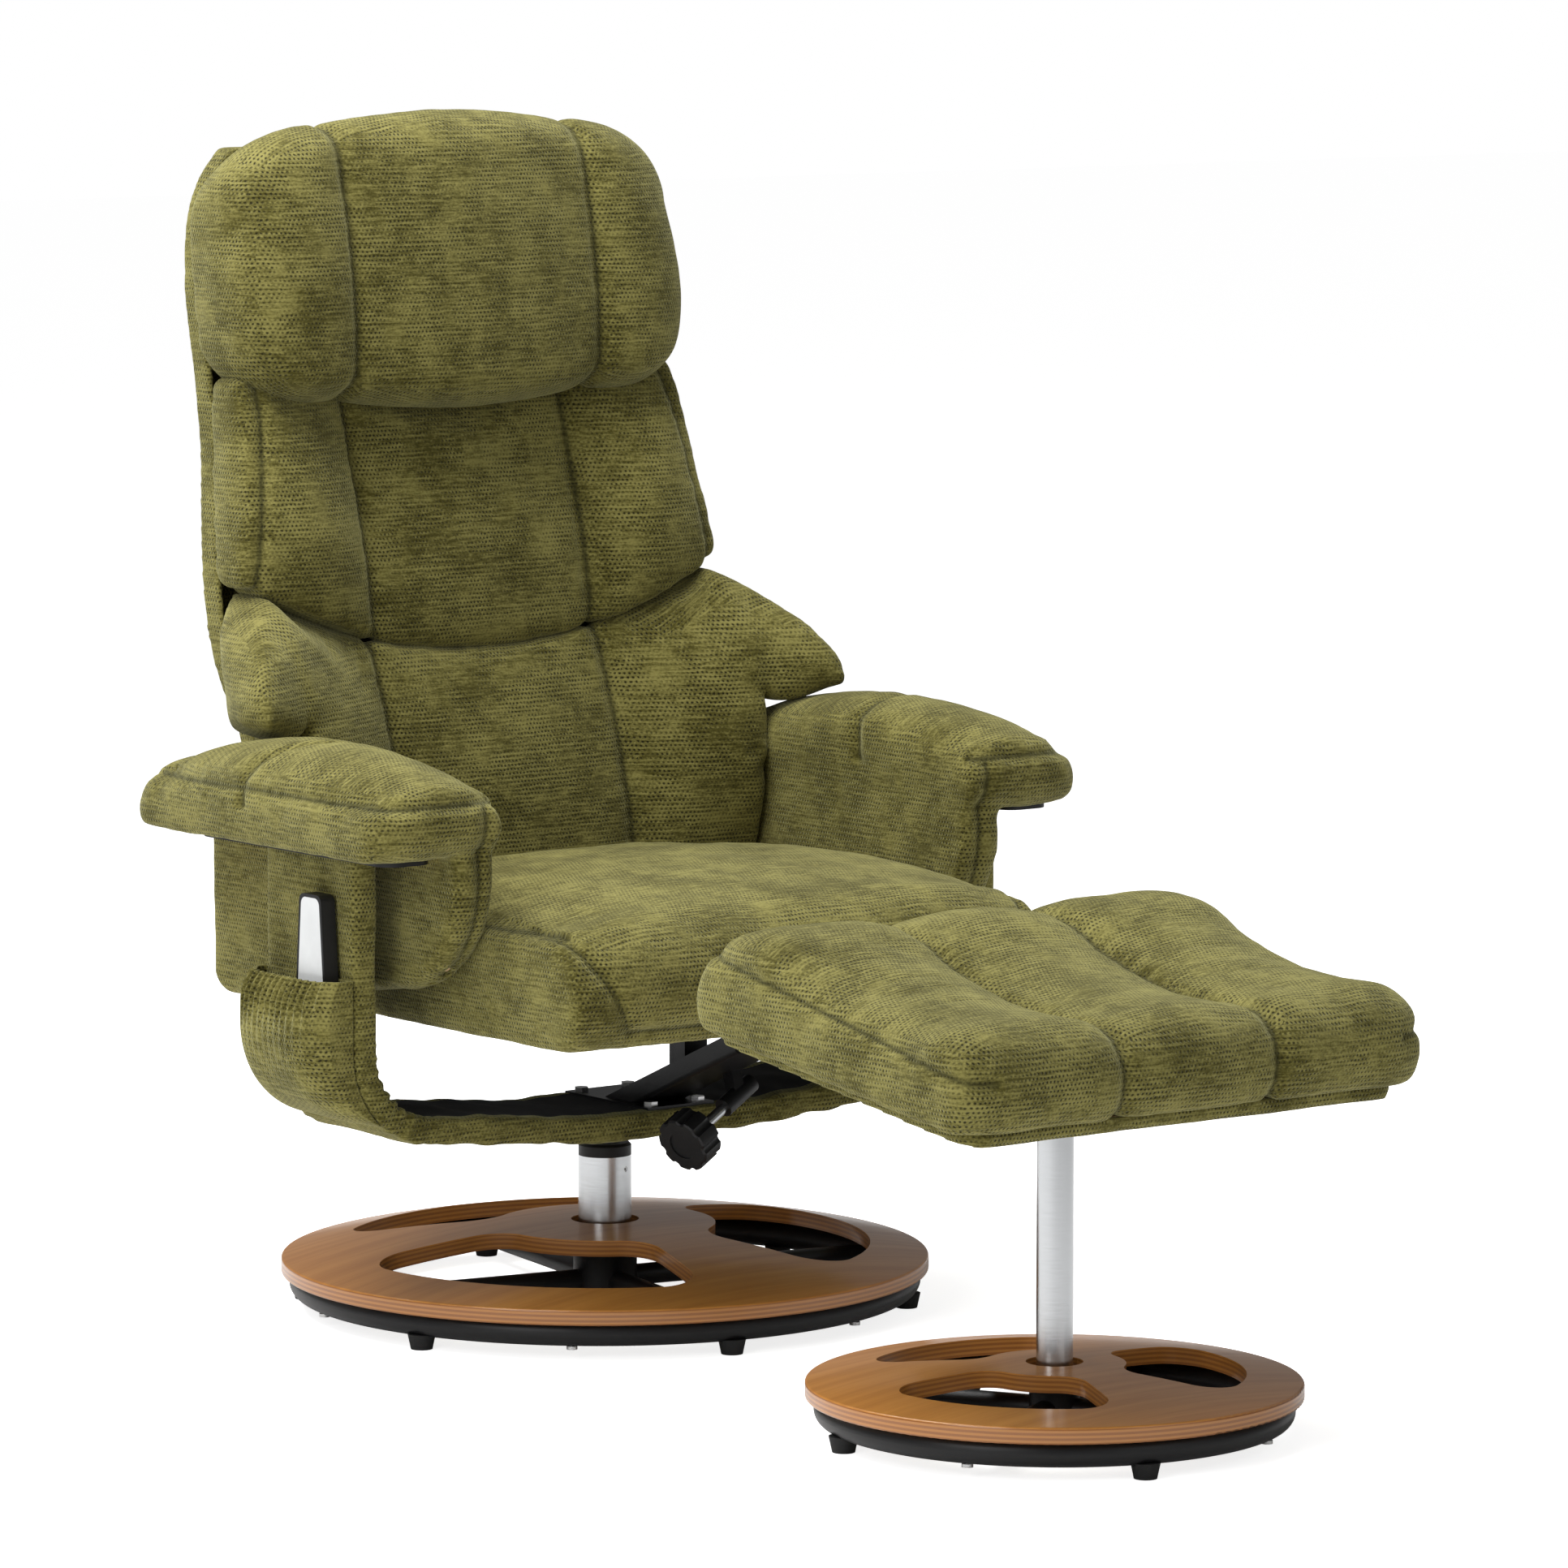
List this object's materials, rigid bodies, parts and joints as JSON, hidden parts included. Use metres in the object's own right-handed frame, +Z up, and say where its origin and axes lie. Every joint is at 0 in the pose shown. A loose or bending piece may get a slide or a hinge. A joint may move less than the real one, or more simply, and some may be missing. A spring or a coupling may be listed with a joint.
{
  "type": "swivel recliner",
  "caption": "Upholstered swivel recliner on a domed plywood ring base, with padded arms and headrest, reclining back, gliding seat, clamp knob, side pocket and a matching tilted footstool.",
  "frame": {"origin": "on the floor under the chair's swivel post", "axes": "+Z up, the chair faces -Y, the sitter's right hand is on -X"},
  "size_m": [0.8219, 1.3234, 1.111],
  "materials": {
    "olive_chenille": "soft dotted chenille, matte",
    "lacquered_plywood": "clear gloss lacquer",
    "black_steel": "satin black powder coat",
    "chrome_steel": "polished",
    "zinc_steel": "zinc plated",
    "black_rubber": "matte",
    "black_plastic": "fine grain",
    "white_plastic": "smooth",
    "plain_wood": "raw",
    "black_cloth": "matte"
  },
  "bodies": {
    "base": {"base_ply_disc": "lacquered_plywood", "base_ring_tube": "black_steel", "base_hub": "black_steel", "base_spokes": "black_steel", "base_feet": "black_rubber", "base_disc_screws": "zinc_steel", "column_tube": "chrome_steel", "column_plug": "zinc_steel", "column_bolt": "zinc_steel", "column_washer": "zinc_steel", "column_thrust_pad": "black_plastic", "column_lower_bush": "black_plastic", "column_collar": "black_plastic", "column_set_screw": "zinc_steel"},
    "yoke": {"swivel_post": "chrome_steel", "yoke_tubes": "black_steel", "yoke_base_plate": "black_steel", "yoke_sleeve": "olive_chenille", "rail_foot_plate": "black_steel", "glide_rail": "black_steel", "yoke_bolts": "zinc_steel", "clamp_barrel": "black_steel", "arm_boards": "plain_wood", "arm_side_boards": "plain_wood", "arm_pad_left": "olive_chenille", "arm_pad_right": "olive_chenille", "arm_panel_left": "olive_chenille", "arm_panel_right": "olive_chenille", "arm_plates": "black_steel", "pivot_pins": "zinc_steel", "handset_pocket": "olive_chenille"},
    "clamp": {"clamp_rod": "chrome_steel", "clamp_knob": "black_plastic"},
    "back": {"back_frame": "black_steel", "back_hinge_ears": "black_steel", "back_webbing": "black_cloth", "back_rear_shell": "olive_chenille", "back_lower_cushion": "olive_chenille", "back_upper_cushion": "olive_chenille", "back_headrest": "olive_chenille"},
    "seat": {"seat_cushion": "olive_chenille", "seat_frame": "plain_wood", "seat_webbing": "black_cloth", "seat_dust_cover": "black_cloth", "seat_glide_shoe": "black_plastic"},
    "handset": {"handset_body": "black_plastic", "handset_face": "white_plastic"},
    "stool_base": {"stool_ply_disc": "lacquered_plywood", "stool_ring_tube": "black_steel", "stool_hub": "black_steel", "stool_spokes": "black_steel", "stool_feet": "black_rubber", "stool_disc_screws": "zinc_steel", "stool_post": "chrome_steel"},
    "stool_top": {"stool_socket": "black_steel", "stool_tilt_plate": "black_steel", "stool_board": "plain_wood", "stool_skirt": "olive_chenille", "stool_screws": "zinc_steel", "stool_cushion": "olive_chenille"}
  },
  "joints": [
    {"name": "seat_swivel", "type": "hinge", "parent": "base", "child": "yoke", "pos_m": [0, 0, 0.1], "axis": [0, 0, 1], "continuous": true},
    {"name": "back_recline", "type": "hinge", "parent": "yoke", "child": "back", "pos_m": [0, 0.176, 0.43], "axis": [-1, 0, 0], "range_deg": [0, 30]},
    {"name": "seat_glide", "type": "slide", "parent": "yoke", "child": "seat", "axis": [0, -0.9205, 0.3907], "range_m": [0, 0.074]},
    {"name": "clamp_turn", "type": "hinge", "parent": "yoke", "child": "clamp", "pos_m": [0.02, -0.181, 0.21838], "axis": [-0.8785, -0.2096, -0.4293], "range_deg": [0, 270]},
    {"name": "handset_lift", "type": "slide", "parent": "yoke", "child": "handset", "axis": [0, 0, 1], "range_m": [0, 0.03]},
    {"name": "stool_place", "type": "slide", "parent": "base", "child": "stool_base", "axis": [0, -1, 0], "range_m": [0, 0.4]},
    {"name": "stool_swivel", "type": "hinge", "parent": "stool_base", "child": "stool_top", "pos_m": [-0.066, -0.753, 0.3], "axis": [0, 0, 1], "continuous": true}
  ],
  "couplings": [
    {"joint": "seat_glide", "follows": "back_recline", "m_per_rad": 0.14}
  ]
}
